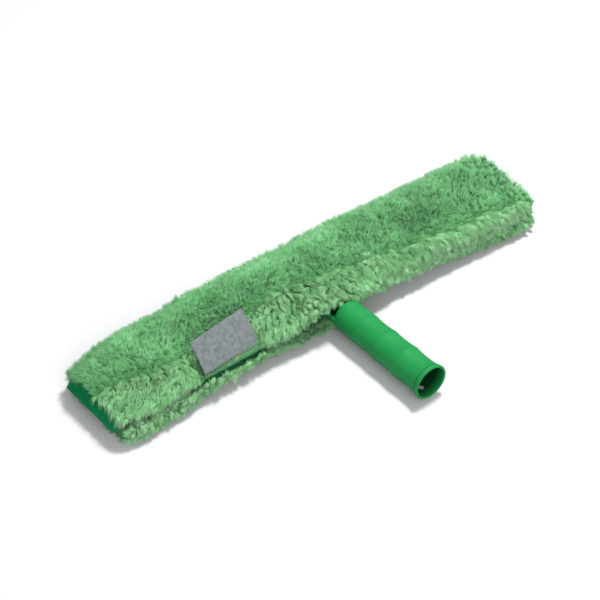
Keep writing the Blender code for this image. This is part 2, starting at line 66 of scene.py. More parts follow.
# ---- the sleeve's skin: where the pile is rooted, by place along the bar, in mm
# The groove between the top and front lobes, the back edge and top of the top lobe, the
# front edge of the lower roll and its height, and the front edge and top of the front lobe.
GROOVE_Y = ((-232, 1.5), (-199, -1.4), (-163, -10), (-139, -7), (-75, -1), (-35, 0.6),
            (20, -6), (52, -13), (85, -19.5), (140, -27), (195, -33), (240, -35))
BACK_Y = ((-222, 34), (-213, 37.5), (-200, 41.5), (-187, 44), (-161, 46), (-100, 46),
          (28, 46.5), (66, 46), (132, 46.5), (187, 46.5), (205, 46.5), (214, 45), (240, 42))
TOP_Z = ((-222, 22.8), (-214, 25.5), (-205, 28), (-187, 30.5), (-161, 32.5), (-100, 35),
         (-50, 35), (28, 34.5), (66, 34), (132, 32.5), (187, 30.5), (210, 29), (240, 26))
LOW_Y = ((-222, -35), (-206, -41), (-194, -41), (-169, -38.7), (-143, -35.5), (-120, -33.5),
         (-91, -32.6), (-60, -33.4), (-40, -34.6), (-16, -34.6), (20, -33.2), (110, -33.2),
         (127, -34.5), (153, -36), (178, -39), (200, -41), (212, -39), (222, -35), (240, -34))
LOW_Z = ((-222, 8.5), (-150, 9), (-110, 11.5), (-85, 12.3), (-60, 11.5), (-30, 10.5), (10, 11),
         (20, 14), (26, 18), (55, 17), (105, 14), (135, 10), (170, 8.5), (240, 8.5))
UP_Y = ((-222, -33.6), (-203, -37), (-180, -38), (-150, -35), (-139, -33.4), (-78, -33.4),
        (-66, -35), (-52, -36.5), (-20, -37.5), (16, -37.5), (30, -35.5), (48, -34), (71, -34),
        (140, -35), (190, -38), (212, -37), (240, -34))
FRONT_Z = ((-222, 24), (-190, 27.5), (-150, 29), (-141, 24), (-78, 24), (-68, 29.5),
           (-40, 31), (60, 30.5), (150, 28.5), (200, 27), (240, 25))


def table(points, x):
    """A table of (place, value) read at x, with its corners rounded."""
    places, values = np.array(points, float).T
    fine = np.arange(-240.0, 256.0, 2.0)
    rough = np.interp(fine, places, values)
    kernel = np.hanning(13)
    smooth = np.convolve(np.pad(rough, 6, mode="edge"), kernel / kernel.sum(), mode="valid")
    return np.interp(x, fine, smooth)


def by_table(rows, x):
    """A table of (place, value) read at x, with straight lines between its places."""
    return np.interp(x, *np.array(rows, float).T)


CELLS = 256  # noise and tufts repeat after so many cells


def lattice_noise(u, v, seed):
    """Smooth noise from -1 to 1 over the plane, one cell per unit."""
    grid = np.random.default_rng(seed).uniform(-1, 1, (CELLS, CELLS))
    iu, iv = np.floor(u).astype(int), np.floor(v).astype(int)
    fu, fv = u - iu, v - iv
    fu, fv = fu * fu * (3 - 2 * fu), fv * fv * (3 - 2 * fv)
    iu, iv, iu1, iv1 = iu % CELLS, iv % CELLS, (iu + 1) % CELLS, (iv + 1) % CELLS
    a, b, c, d = grid[iu, iv], grid[iu1, iv], grid[iu, iv1], grid[iu1, iv1]
    return (a * (1 - fu) + b * fu) * (1 - fv) + (c * (1 - fu) + d * fu) * fv


def unit(vectors):
    """The vectors at length 1."""
    return vectors / np.maximum(np.linalg.norm(vectors, axis=-1, keepdims=True), 1e-12)


# ---- skin
# Key points go round the section from the upper groove over the top lobe, down the back,
# along the underside, round the lower roll, past the slit and up over the front lobe.
BACK_SEAM, LOWER_LIP, UPPER_LIP, KEYS = 6, 15, 16, 22
STEPS = 6  # skin points from one key to the next
SKIN_START, SKIN_END, SKIN_STEP = -217.0, 221.0, 3.0
SKIN_X = np.arange(SKIN_START, SKIN_END + 1.0, SKIN_STEP)
NECK_ROW = 75  # the row of the skin over the handle's neck
SLIT_END_X = 17.0
SLIT_Y = -33.3
NECK_LIFT = 9.5  # how far the front lobe's lower edge is pushed up beside the neck
LABEL_LEFT, LABEL_RIGHT = -139.5, -77.0
LABEL_LOBE_Z = 28.5  # the front lobe's height where the label presses it down


def spans(count):
    """Stretches of the sleeve to grow pile in one by one, so that no mesh gets too heavy."""
    ends = np.linspace(SKIN_START, SKIN_END, count + 1)
    return zip(ends[:-1], ends[1:])


def between(x, low, high, soft):
    """1 where x lies between low and high, 0 outside, with a soft edge."""
    return np.clip((x - low) / soft + 0.5, 0, 1) * np.clip((high - x) / soft + 0.5, 0, 1)


def key_points(x):
    """The section's key points at places x, in mm: an array (len(x), KEYS, 2) of y and z.

    The rows are keys 0 to 21. Keys 0 to 6 are the top panel, 6 to 15 the bottom panel with the
    lower roll, and 16 to 22 the front lobe; the slit, or its seam, is between 15 and 16."""
    g, yb, zt = table(GROOVE_Y, x), table(BACK_Y, x), table(TOP_Z, x)
    yl, zl = table(LOW_Y, x), table(LOW_Z, x)
    yu, zf = table(UP_Y, x), table(FRONT_Z, x)
    flat = 0 * x
    depth = 5.0 + 1.6 * lattice_noise(x / 15 + 2, flat + 4.5, SEED + 9)
    under_label = between(x, LABEL_LEFT, LABEL_RIGHT, 6)
    lobe = zf * (1 - under_label) + LABEL_LOBE_Z * under_label
    gz = np.minimum(zt, lobe + 1.5) - depth
    slit = np.clip((SLIT_END_X + 6 - x) / 12, 0, 1)
    merge = np.clip((x - 20) / 60, 0, 1)
    ys = SLIT_Y * (1 - merge) + (np.maximum(yl, yu) + 0.4) * merge
    raised = np.clip((zl - 9) / 4, 0, 1)
    over_neck = NECK_LIFT * between(x, -42, -2, 16)
    narrow = np.clip((g - yu - 9) / 12, 0, 1)
    rows = [
        (g, gz), (g + 3.5, gz + 3.2), (g + 10, zt - 0.8), ((g + yb) / 2 + 2, zt),
        (yb - 15, zt - 1.1), (yb - 4.5, zt - 6.5), (yb, 18.0 + flat), (yb - 3.5, 9 + flat),
        (yb - 13, 3.0 + flat), (14 + flat, 2.2 + flat), (-10 + flat, 2.2 + flat),
        (yl + 11 + 3 * raised, 2.4 + 1.4 * raised), (yl + 3 + 1.5 * raised, zl - 4.6 + raised),
        (yl, zl), (yl * 0.5 + ys * 0.5, zl * 0.25 + 10.8),
        (ys, 16.3 - 1.0 * slit), (ys, 19.2 + 1.2 * slit + over_neck),
        (yu * 0.6 + ys * 0.4, 22.2 + 0.3 * slit + 0.7 * over_neck),
        (yu, 25.0 - 1.6 * under_label + 0.5 * over_neck),
        (yu + 1.2 + 2.0 * narrow, zf - 2.5 + narrow),
        ((yu + g) / 2, lobe * narrow + (gz + 3.2) * (1 - narrow)),
        (g - 1.0 - 2.5 * narrow, gz + 3.0),
    ]
    return np.stack([np.stack([y + flat, z + flat], axis=1) for y, z in rows], axis=1)


def closed_curve(keys):
    """Catmull-Rom through closed key points, STEPS points a span."""
    before, after = np.roll(keys, 1, axis=1), np.roll(keys, -1, axis=1)
    later = np.roll(keys, -2, axis=1)
    out = []
    for s in np.arange(STEPS) / STEPS:
        out.append(0.5 * (2 * keys + (after - before) * s
                          + (2 * before - 5 * keys + 4 * after - later) * s ** 2
                          + (3 * keys - before - 3 * after + later) * s ** 3))
    return np.stack(out, axis=2).reshape(len(keys), -1, 2)


# How far the right-hand end falls back, by y, and from which place on.
END_SLANT = ((-60, 22), (-48, 16), (-40, 9.5), (-34, 2.6), (-28, 2.0), (-10, 1.6), (5, 0.6),
             (30, 0), (40, 2), (50, 5))
SLANT_START = 190


def slanted(x, y):
    """The right-hand end isn't square: it falls back towards the front corner."""
    share = np.clip((x - SLANT_START) / (SKIN_END - SLANT_START), 0, 1) ** 1.6
    return x - share * by_table(END_SLANT, y)


def make_skin():
    """The skin as a grid of points (places, round, 3) in metres, with its normals and its
    directions along the bar and round the section."""
    outline = closed_curve(key_points(SKIN_X))
    x = np.repeat(SKIN_X[:, None], outline.shape[1], axis=1)
    y, z = outline[..., 0], outline[..., 1]
    section = outline[NECK_ROW]
    around = np.cumsum(np.linalg.norm(np.diff(section, axis=0, prepend=section[:1]), axis=1))
    wave = lattice_noise(x / 26 + 7, around[None, :] / 17 + 3, SEED)
    wave += 0.7 * lattice_noise(x / 11 + 31, around[None, :] / 9 + 11, SEED + 1)
    wave *= 1 - between(x, LABEL_LEFT, LABEL_RIGHT, 6) * (y < 2)
    z = z + 1.25 * wave * np.clip((z - 23) / 6, 0, 1)
    # The end's front corner droops.
    corner = np.clip((x - 200) / 21, 0, 1) ** 1.4 * np.clip((12 - y) / 30, 0, 1)
    z = z - 5.0 * corner * np.clip((z - 22.5) / 5, 0, 1)
    y = y + 0.8 * wave * np.clip((np.abs(y) - 36) / 8, 0, 1)
    points = np.stack([slanted(x, y), y, z], axis=2) * MM
    along = np.gradient(points, axis=0)
    round_it = (np.roll(points, -1, axis=1) - np.roll(points, 1, axis=1)) / 2
    normals = unit(np.cross(along, round_it))
    return points, normals, unit(along), unit(round_it)


SKIN, SKIN_NORMAL, SKIN_ALONG, SKIN_ROUND = make_skin()
if (SKIN_NORMAL[..., 2] * (SKIN[..., 2] - 0.018)).sum() < 0:
    SKIN_NORMAL = -SKIN_NORMAL


def read_grid(grid, i, j):
    """A grid read between its points, at place index i and index j round the section."""
    i0 = np.clip(np.floor(i).astype(int), 0, grid.shape[0] - 2)
    j0 = np.floor(j).astype(int)
    a, b = (i - i0)[:, None], (j - j0)[:, None]
    n = grid.shape[1]
    p, q = grid[i0, j0 % n], grid[i0 + 1, j0 % n]
    r, s = grid[i0, (j0 + 1) % n], grid[i0 + 1, (j0 + 1) % n]
    return (p * (1 - a) + q * a) * (1 - b) + (r * (1 - a) + s * a) * b


# ---- materials
class Nodes:
    """A short way to write a material's node tree. A setting's name starts with in_ where it
    is the value of an input socket."""

    def __init__(self, name):
        self.material = bpy.data.materials.new(name)
        self.material.use_nodes = True
        self.tree = self.material.node_tree
        self.shader = self.tree.nodes["Principled BSDF"]

    def add(self, kind, **settings):
        node = self.tree.nodes.new(kind)
        for key, value in settings.items():
            if key.startswith("in_"):
                node.inputs[key[3:].replace("_", " ")].default_value = value
            else:
                setattr(node, key, value)
        return node

    def link(self, source, target):
        self.tree.links.new(source, target)

    def ramp(self, fac, stops):
        """A colour ramp with a stop (place, colour) for each of stops."""
        node = self.add("ShaderNodeValToRGB")
        while len(node.color_ramp.elements) < len(stops):
            node.color_ramp.elements.new(0.5)
        for element, (place, colour) in zip(node.color_ramp.elements, stops):
            element.position = place
            element.color = (*colour, 1.0)
        self.link(fac, node.inputs["Fac"])
        return node.outputs["Color"]

    def math(self, operation, *values):
        """A Math node; a value is a number or an output."""
        node = self.add("ShaderNodeMath", operation=operation)
        for value, socket in zip(values, node.inputs):
            if isinstance(value, (int, float)):
                socket.default_value = value
            else:
                self.link(value, socket)
        return node.outputs[0]

    def split(self, vector):
        """The X, Y and Z outputs of a vector."""
        node = self.add("ShaderNodeSeparateXYZ")
        self.link(vector, node.inputs[0])
        return node.outputs

    def rises(self, value, start, stop):
        """0 up to start, 1 from stop on, and a straight line between."""
        node = self.add("ShaderNodeMapRange", in_From_Min=start, in_From_Max=stop)
        self.link(value, node.inputs["Value"])
        return node.outputs[0]

    def colour(self, source):
        self.link(source, self.shader.inputs["Base Color"])

    def mix(self, mode, fac, a, b):
        """A colour mix; a value is a number, a colour or an output."""
        node = self.add("ShaderNodeMix", data_type="RGBA", blend_type=mode)
        for value, slot in ((fac, 0), (a, 6), (b, 7)):
            if isinstance(value, (int, float)):
                node.inputs[slot].default_value = value
            elif isinstance(value, tuple):
                node.inputs[slot].default_value = (*value, 1.0)
            else:
                self.link(value, node.inputs[slot])
        return node.outputs[2]

    def noise(self, scale, detail, roughness):
        node = self.add("ShaderNodeTexNoise", in_Scale=scale, in_Detail=detail,
                        in_Roughness=roughness)
        self.link(self.place(), node.inputs["Vector"])
        return node.outputs["Fac"]

    def place(self):
        """The object coordinates, which are metres in the CAD's frame."""
        if not hasattr(self, "coordinates"):
            self.coordinates = self.add("ShaderNodeTexCoord").outputs["Object"]
        return self.coordinates

    def bump(self, height, strength, distance):
        node = self.add("ShaderNodeBump", in_Strength=strength, in_Distance=distance)
        self.link(height, node.inputs["Height"])
        self.link(node.outputs["Normal"], self.shader.inputs["Normal"])

    def set(self, **values):
        for key, value in values.items():
            self.shader.inputs[key.replace("_", " ")].default_value = value


def pile_material(name, root, middle, tip):
    """Colour runs from a dark root to a pale tip of each fibre (v), the dark roots being painted
    shade deep in the pile, and from dark to light tuft (u).
    """
    m = Nodes(name)
    uv = m.split(m.add("ShaderNodeUVMap", uv_map=FIBRE_UV).outputs["UV"])
    # Painted shade: each fibre darkens towards its root.
    along = m.ramp(uv["Y"], ((0.0, root), (0.45, middle), (1.0, tip)))
    tone = m.ramp(uv["X"], ((0.0, (0.50, 0.60, 0.50)), (0.5, (1.0, 1.0, 1.0)),
                            (1.0, (1.65, 1.35, 1.60))))
    m.colour(m.mix("MULTIPLY", 1.0, along, tone))
    m.set(Roughness=0.75, Specular_IOR_Level=0.2, Sheen_Weight=0.2, Sheen_Roughness=0.5)
    return m.material


def undercoat_material():
    """The dense short pile near the backing cloth."""
    m = Nodes("pile_undercoat")
    mottle = m.noise(420.0, 4.0, 0.7)
    m.colour(m.ramp(mottle, ((0.30, (0.022, 0.130, 0.036)), (0.70, (0.070, 0.255, 0.085)))))
    m.bump(mottle, 0.8, 0.002)
    m.set(Roughness=0.9, Specular_IOR_Level=0.15)
    return m.material


def plastic_nodes(name, dark, light, specular):
    """Moulded plastic: cloudy colour, uneven gloss and a fine spark-eroded grain."""
    m = Nodes(name)
    m.base = m.ramp(m.noise(38.0, 3.0, 0.5), ((0.3, dark), (0.7, light)))
    m.colour(m.base)
    grain = m.noise(1900.0, 2.0, 0.6)
    rough = m.ramp(m.noise(220.0, 3.0, 0.6), ((0.3, (0.50,) * 3), (0.7, (0.62,) * 3)))
    m.link(rough, m.shader.inputs["Roughness"])
    m.bump(grain, 0.12, 0.0003)
    m.set(Specular_IOR_Level=specular)
    return m


# The pole socket, in metres: the height of its axis, how fast it narrows, the radii between
# which the inside begins, brought to y = 0, and the places where its painted shade starts and is
# full.
GRIP_AXIS_Z = 0.0178
SOCKET_TAPER = 0.0202
SOCKET_OUTER, SOCKET_INNER = 0.0110, 0.0108
SOCKET_MOUTH_Y, SOCKET_DEEP_Y = -0.1465, -0.138
SOCKET_PAINTED_SHADE = (0.12, 0.14, 0.14)


def grip_material():
    """The grip's plastic. Inside the socket it is painted darker the deeper it goes: painted
    shade.
    """
    m = plastic_nodes("grip_plastic", (0.006, 0.164, 0.038), (0.009, 0.184, 0.046), 0.12)
    across = m.add("ShaderNodeVectorMath", operation="MULTIPLY")
    m.link(m.place(), across.inputs[0])
    across.inputs[1].default_value = (1, 0, 1)
    radius = m.add("ShaderNodeVectorMath", operation="DISTANCE")
    m.link(across.outputs[0], radius.inputs[0])
    radius.inputs[1].default_value = (0, 0, GRIP_AXIS_Z)
    y = m.split(m.place())["Y"]
    straight = m.math("MULTIPLY_ADD", y, SOCKET_TAPER, radius.outputs["Value"])
    inside = m.rises(straight, SOCKET_OUTER, SOCKET_INNER)
    deep = m.rises(y, SOCKET_MOUTH_Y, SOCKET_DEEP_Y)
    # Painted shade: the colour is darkened inside the socket, fully so from SOCKET_DEEP_Y in.
    shade = m.ramp(m.math("MULTIPLY", inside, deep), ((0.0, (1.0, 1.0, 1.0)), (1.0, SOCKET_PAINTED_SHADE)))
    m.colour(m.mix("MULTIPLY", 1.0, m.base, shade))
    return m.material


def steel_material():
    m = Nodes("pin_steel")
    drawn = m.noise(900.0, 2.0, 0.5)
    m.colour(m.ramp(drawn, ((0.3, (0.42, 0.43, 0.45)), (0.7, (0.62, 0.63, 0.65)))))
    m.bump(drawn, 0.15, 0.0002)
    m.set(Roughness=0.32, Metallic=1.0)
    return m.material


def woven_material(name, dark, light, thread_mm):
    """Plain weave: two crossing waves of threads, with blotches of wear over it."""
    m = Nodes(name)
    uv = m.split(m.add("ShaderNodeUVMap", uv_map=CLOTH_UV).outputs["UV"])
    turns = 2 * math.pi / thread_mm
    waves = [m.math("SINE", m.math("MULTIPLY", uv[axis], turns)) for axis in ("X", "Y")]
    weave = m.math("MULTIPLY_ADD", *waves, 0.5)
    tone = m.mix("MIX", 0.70, weave, m.noise(300.0, 3.0, 0.7))
    m.colour(m.ramp(tone, ((0.2, dark), (0.8, light))))
    m.bump(weave, 0.35, 0.0002)
    m.set(Roughness=0.8, Specular_IOR_Level=0.2, Sheen_Weight=0.2)
    return m.material


def thread_material(name, dark, light):
    m = Nodes(name)
    twist = m.noise(1500.0, 2.0, 0.5)
    m.colour(m.ramp(twist, ((0.3, dark), (0.7, light))))
    m.bump(twist, 0.4, 0.0002)
    m.set(Roughness=0.7, Specular_IOR_Level=0.25, Sheen_Weight=0.2)
    return m.material


def tape_material():
    """Ribbed binding tape."""
    m = Nodes("binding_tape")
    wave = m.add("ShaderNodeTexWave", in_Scale=900.0, in_Distortion=0.6)
    m.link(m.place(), wave.inputs["Vector"])
    rib = wave.outputs["Fac"]
    m.colour(m.ramp(rib, ((0.2, (0.012, 0.085, 0.030)), (0.8, (0.030, 0.150, 0.050)))))
    m.bump(rib, 0.5, 0.0002)
    m.set(Roughness=0.85, Specular_IOR_Level=0.2)
    return m.material


# ---- mesh helpers
def new_object(name, data):
    obj = bpy.data.objects.new(name, data)
    bpy.context.scene.collection.objects.link(obj)
    return obj


def solid_object(name, vertices, faces, material):
    """A closed mesh from points and faces of any size, with its normals outward."""
    bm = bmesh.new()
    verts = [bm.verts.new(p) for p in vertices]
    for face in faces:
        bm.faces.new([verts[k] for k in face])
    bmesh.ops.recalc_face_normals(bm, faces=bm.faces)
    many_sided = [f for f in bm.faces if len(f.verts) > 4]
    if many_sided:
        bmesh.ops.triangulate(bm, faces=many_sided)
    mesh = bpy.data.meshes.new(name)
    bm.to_mesh(mesh)
    bm.free()
    mesh.materials.append(material)
    return new_object(name, mesh)


def numbered(grid):
    """The numbers of a grid's points, in rows."""
    return np.arange(grid.shape[0] * grid.shape[1]).reshape(grid.shape[:2])


def tube_quads(index):
    """The four-sided faces between closed rings of points, numbered by the rows of index."""
    a, b = index[:-1], index[1:]
    quads = np.stack([a, np.roll(a, -1, axis=1), np.roll(b, -1, axis=1), b], axis=-1)
    return quads.reshape(-1, 4)


def mesh_object(name, vertices, faces, material):
    """A mesh from an array of points and an array of equal-sided faces."""
    mesh = bpy.data.meshes.new(name)
    sides = faces.shape[1]
    mesh.vertices.add(len(vertices))
    mesh.vertices.foreach_set("co", vertices.astype(np.float32).ravel())
    mesh.loops.add(faces.size)
    mesh.loops.foreach_set("vertex_index", faces.astype(np.int32).ravel())
    mesh.polygons.add(len(faces))
    mesh.polygons.foreach_set("loop_start", np.arange(0, faces.size, sides, dtype=np.int32))
    mesh.update(calc_edges=True)
    mesh.polygons.foreach_set("use_smooth", np.full(len(faces), True))
    mesh.materials.append(material)
    return new_object(name, mesh)


def give_uv(obj, name, per_vertex):
    """A UV map whose value belongs to the vertex, so that it holds for each corner there."""
    corners = np.zeros(len(obj.data.loops), np.int32)
    obj.data.loops.foreach_get("vertex_index", corners)
    layer = obj.data.uv_layers.new(name=name)
    layer.data.foreach_set("uv", per_vertex[corners].astype(np.float32).ravel())


def ride_sleeve(obj):
    """Puts a new piece on the sleeve's body."""
    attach(obj, "sleeve")
    return obj


# ---- undercoat
# The walls of the pocket that the bar lies in, in mm.
POCKET = {"front": -32.75, "back": 32.55, "floor": 13.75, "ceiling": 21.85}
SEAM_GAP = 0.15
BACK_SEAM_Z = (17.65, 17.95)


def undercoat_body(name, start, stop, inner, material):
    """A closed body between the skin, from key start to key stop, and the pocket's wall."""
    js = np.arange(start * STEPS, stop * STEPS + 1) % SKIN.shape[1]
    inner_points = inner(SKIN_X, SKIN[:, js[0]] / MM, SKIN[:, js[-1]] / MM)
    loop = np.concatenate([SKIN[:, js], inner_points * MM], axis=1)
    index = numbered(loop)
    faces = [*tube_quads(index), index[0], index[-1]]
    return solid_object(name, loop.reshape(-1, 3), faces, material)


def stack(xs, points):
    """Section points, each (y, z) with either an array or a number, as (places, points, 3)."""
    columns = []
    for y, z in points:
        y, z = y + 0 * xs, z + 0 * xs
        columns.append(np.stack([slanted(xs, y), y, z], axis=1))
    return np.stack(columns, axis=1)


# Each of these gives a panel's inner points, from where its skin stops back to where it
# starts. They are given the skin's points at its first key and at its last.
def top_inner(xs, groove, _back):
    seam = np.maximum(groove[:, 1], POCKET["front"])
    return stack(xs, [(POCKET["back"], BACK_SEAM_Z[1]), (POCKET["back"], POCKET["ceiling"]),
                      (seam + SEAM_GAP, POCKET["ceiling"])])


def bottom_inner(xs, _back, slit):
    return stack(xs, [(POCKET["front"], slit[:, 2]), (POCKET["front"], POCKET["floor"]),
                      (POCKET["back"], POCKET["floor"]), (POCKET["back"], BACK_SEAM_Z[0])])


def front_inner(xs, slit, groove):
    seam = np.maximum(groove[:, 1], POCKET["front"] + 0.3)
    return stack(xs, [(seam - SEAM_GAP, POCKET["ceiling"] + 0.1),
                      (POCKET["front"], POCKET["ceiling"]), (POCKET["front"], slit[:, 2])])


# ---- pile
FIBRE_UV, CLOTH_UV = "OFBake", "cloth"
# In metres: how far below the skin a fibre starts, how far its points stray, and how near
# the floor it may come.
ROOT_DEPTH, STRAY, FLOOR_GAP = 0.0008, 0.0004, 0.0004
# Which way the pile is brushed: how far along X, by place along the bar, and then
# (share of that, Y, Z) by key round the section.
BRUSH_X = ((-217, -1.2), (-200, -0.9), (-180, -0.5), (-120, -0.3), (-20, -0.35), (30, 0.0),
           (120, 0.1), (190, 0.3), (221, 0.25))
BRUSH = ((0, 0.3, -0.35, 0.0), (1, 0.3, -0.25, 0.0), (2, 0.3, -0.05, 0.0), (4, 0.3, 0.1, 0.0),
         (5, 0.3, 0.2, -0.1), (6, 0.5, 0.1, -0.4), (7, 0.4, 0.0, -0.4), (8, 0.3, 0.0, 0.0),
         (10, 0.3, 0.0, 0.0), (11, 0.5, -0.5, 0.0), (12, 0.6, -0.4, -0.3), (13, 0.8, -0.2, -0.7),
         (14, 0.8, -0.1, -0.6), (15, 0.5, -0.2, -0.5), (16, 0.8, -0.6, -0.1),
         (17, 1.0, -0.4, -0.7), (18, 1.1, -0.3, -1.5), (19, 1.1, -0.5, -1.5),
         (20, 1.1, -1.1, -0.9), (21, 0.8, -1.1, -0.4), (22, 0.3, -0.35, 0.0))
# Tone of the lower roll by place along the bar; the dip around the neck is painted shade under the
# overhanging front lobe.
LOW_TONE_AND_SHADE = ((-217, 0.15), (-150, 0.20), (-110, 0.0), (-20, -0.34), (20, -0.20), (70, 0.08),
            (220, 0.10))
# Painted shade by key: the pile is darkened in the groove and in the slit, where shade falls.
KEY_PAINTED_SHADE = ((0, -0.30), (0.7, -0.05), (1.2, 0), (13.2, 0), (14.0, -0.25), (15.0, -0.45),
            (16.4, -0.45), (17.2, -0.05), (18, 0), (21.2, 0), (22, -0.30))
# Partings in the pile: their distance and radius in metres, and the share that is open.
PIT_PITCH, PIT_RADIUS, PIT_SHARE = 0.0095, 0.0020, 0.4
# Patches of painted sheen and shade, where the nap would catch the light or turn from it: place,
# key, reach in mm, tone.
NAP_SHEEN_PATCHES = ((-207, 2.6, 15, 0.28), (-170, 1.2, 14, 0.18), (-168, 3.6, 12, 0.16),
           (-120, 3.4, 20, -0.10), (-60, 2.0, 25, -0.08), (32, 4.2, 13, 0.26),
           (80, 2.2, 22, -0.10), (150, 2.5, 30, -0.12), (60, 18.5, 30, 0.10),
           (-130, 20.5, 25, -0.10), (-190, 20.5, 18, 0.10), (200, 18.5, 14, 0.14),
           (-45, 20.5, 14, -0.12), (10, 21.0, 14, -0.12), (105, 20.8, 16, -0.08),
           (135, 3.0, 60, -0.10), (-175, 20.6, 28, -0.06))


class Spot(NamedTuple):
    """A stretch where the pile stands differently."""

    places: tuple  # along the bar, in mm: from, to and the soft edge's width
    keys: tuple  # round the section: starts, is full from, is full up to, ends
    brush: tuple = (0.0, 0.0)  # added to the pile's direction: Y and Z
    longer: float = 0.0  # added to its length, as a share
    least: tuple = (0.0, 0.0)  # its least length in mm, and the key from which that holds
    shorter: float = 0.0  # taken off its length at the end, as a share
    tone: float = 0.0  # added to its tone; where it is negative, that is painted shade


SPOTS = (
    # The lower roll left of the neck, where the slit is a dark hole; its fibres are darkened there
    # as painted shade.
    Spot((-50, -12, 10), (12.65, 12.95, 14.85, 15.15), brush=(-0.1, 0.9), longer=0.6,
         least=(6.5, 13.6), tone=-0.3),
    # The upper lip there, which hangs into the hole, darkened as painted shade.
    Spot((-48, -10, 8), (15.9, 15.9, 16.8, 16.8), brush=(-0.2, -1.2), least=(6.0, 0.0),
         tone=-0.3),
    # The front lobe above it, and over the neck.
    Spot((-52, -16, 8), (16.8, 16.8, 18.7, 18.7), brush=(-0.5, 0.9), longer=-0.3),
    Spot((-30, 19, 8), (16, 16.5, 19.5, 20.5), brush=(-0.5, 1.1), longer=0.05),
    # The lower roll under the label, which it props up, and the front lobe behind the label,
    # darkened as painted shade under the label.
    Spot((LABEL_LEFT, LABEL_RIGHT, 3), (13.6, 13.6, 15.2, 15.2), brush=(-0.1, 1.3),
         longer=1.2, least=(9.5, 14.0), tone=0.3),
    Spot((LABEL_LEFT, LABEL_RIGHT, 3), (15.2, 15.2, 20.2, 20.6), longer=-0.65, tone=-0.6),
    # The lower roll left of the label, and the front lobe just above the slit there, darkened as
    # painted shade from the slit.
    Spot((-230, -142, 5), (13.6, 13.6, 15.2, 15.2), brush=(-0.5, 0.9), least=(8.5, 0.0),
         tone=0.3),
    Spot((-230, -142, 5), (15.2, 15.2, 17.7, 18.2), shorter=0.5, tone=-0.22),
)
CROPPED_LESS = 0.6  # taken off the length of cropped pile, as a share
SEWN_LEAST = 6.5  # the least length of pile over the front seam, in mm


def risen(t, start, full):
    """0 up to start, 1 from full on, and a straight line between."""
    return np.clip((t - start) / max(full - start, 1e-9), 0, 1)


def spots_at(x, key):
    """Each spot, with how strongly it works on fibres at places x and keys, 0 to 1."""
    return [(spot, between(x, *spot.places) * risen(key, *spot.keys[:2])
             * risen(-key, -spot.keys[3], -spot.keys[2])) for spot in SPOTS]


def cropped(x, key):
    """How cropped the pile is, 0 to 1: fully at the right-hand end's front corner, and mostly
    on the lower roll right of the neck."""
    right_of_neck = between(x, 20, 66, 8) * (key < 16) * (key > 11)
    return np.minimum(risen(x, 203, 215) * (key > 15) + 0.8 * right_of_neck, 1)


def clumped(x, key):
    """How much the pile stands in clumps: on the front lobe between the label and the neck,
    and on the front right of the neck."""
    return between(x, -74, -4, 12) * (key > 16.5) + 0.8 * between(x, 20, 226, 12) * (key > 13)


def painted_nap_sheen(x, v):
    """The painted sheen and shade that the patches add at places x, and v metres round the
    section.
    """
    tone = 0 * x
    for place, key, reach, change in NAP_SHEEN_PATCHES:
        away = np.hypot(x - place, (v - np.interp(key * STEPS, np.arange(len(ARC)), ARC)) / MM)
        tone = tone + change * np.exp(-(away / reach) ** 2)
    return tone


def arc_lengths():
    """Distance round the section at its middle place, in metres, for each point round it."""
    middle = SKIN[len(SKIN_X) // 2, :, 1:]
    steps = np.linalg.norm(np.roll(middle, -1, axis=0) - middle, axis=1)
    return np.concatenate([[0], np.cumsum(steps)])


ARC = arc_lengths()


def tufts(u, v, pitch, seed):
    """The nearest tuft centre to each point of the plane, in metres: its number, u and v."""
    rng = np.random.default_rng(seed)
    jitter = rng.uniform(0.08, 0.92, (CELLS, CELLS, 2))
    iu, iv = np.floor(u / pitch).astype(int), np.floor(v / pitch).astype(int)
    best = np.full(len(u), np.inf)
    number, cu, cv = np.zeros(len(u), int), np.zeros(len(u)), np.zeros(len(u))
    for du in (-1, 0, 1):
        for dv in (-1, 0, 1):
            ku, kv = (iu + du) % CELLS, (iv + dv) % CELLS
            pu = (iu + du + jitter[ku, kv, 0]) * pitch
            pv = (iv + dv + jitter[ku, kv, 1]) * pitch
            distance = (pu - u) ** 2 + (pv - v) ** 2
            nearer = distance < best
            best = np.where(nearer, distance, best)
            number = np.where(nearer, ku * CELLS + kv, number)
            cu, cv = np.where(nearer, pu, cu), np.where(nearer, pv, cv)
    return number, cu, cv


def pits(u, v):
    """How deep each point lies in a parting of the pile, 0 to 1, and the way out of it."""
    number, cu, cv = tufts(u, v, PIT_PITCH, SEED + 52)
    open_pit = np.random.default_rng(SEED + 53).uniform(0, 1, CELLS ** 2)[number] < PIT_SHARE
    du, dv = u - cu, v - cv
    away = np.maximum(np.hypot(du, dv), 1e-6)
    return open_pit * np.exp(-(away / PIT_RADIUS) ** 2), du / away, dv / away


def brush(x, key):
    """The direction that the pile is brushed in, at places x and keys. At the sleeve's ends
    it goes fully by BRUSH_X."""
    keys, share, y, z = np.array(BRUSH, float).T
    at_ends = risen(-x, 196, 210) + risen(x, 204, 218)
    along = np.interp(key, keys, share)
    along = table(BRUSH_X, x) * (along + (1 - along) * at_ends)
    return np.stack([along, np.interp(key, keys, y), np.interp(key, keys, z)], axis=1)


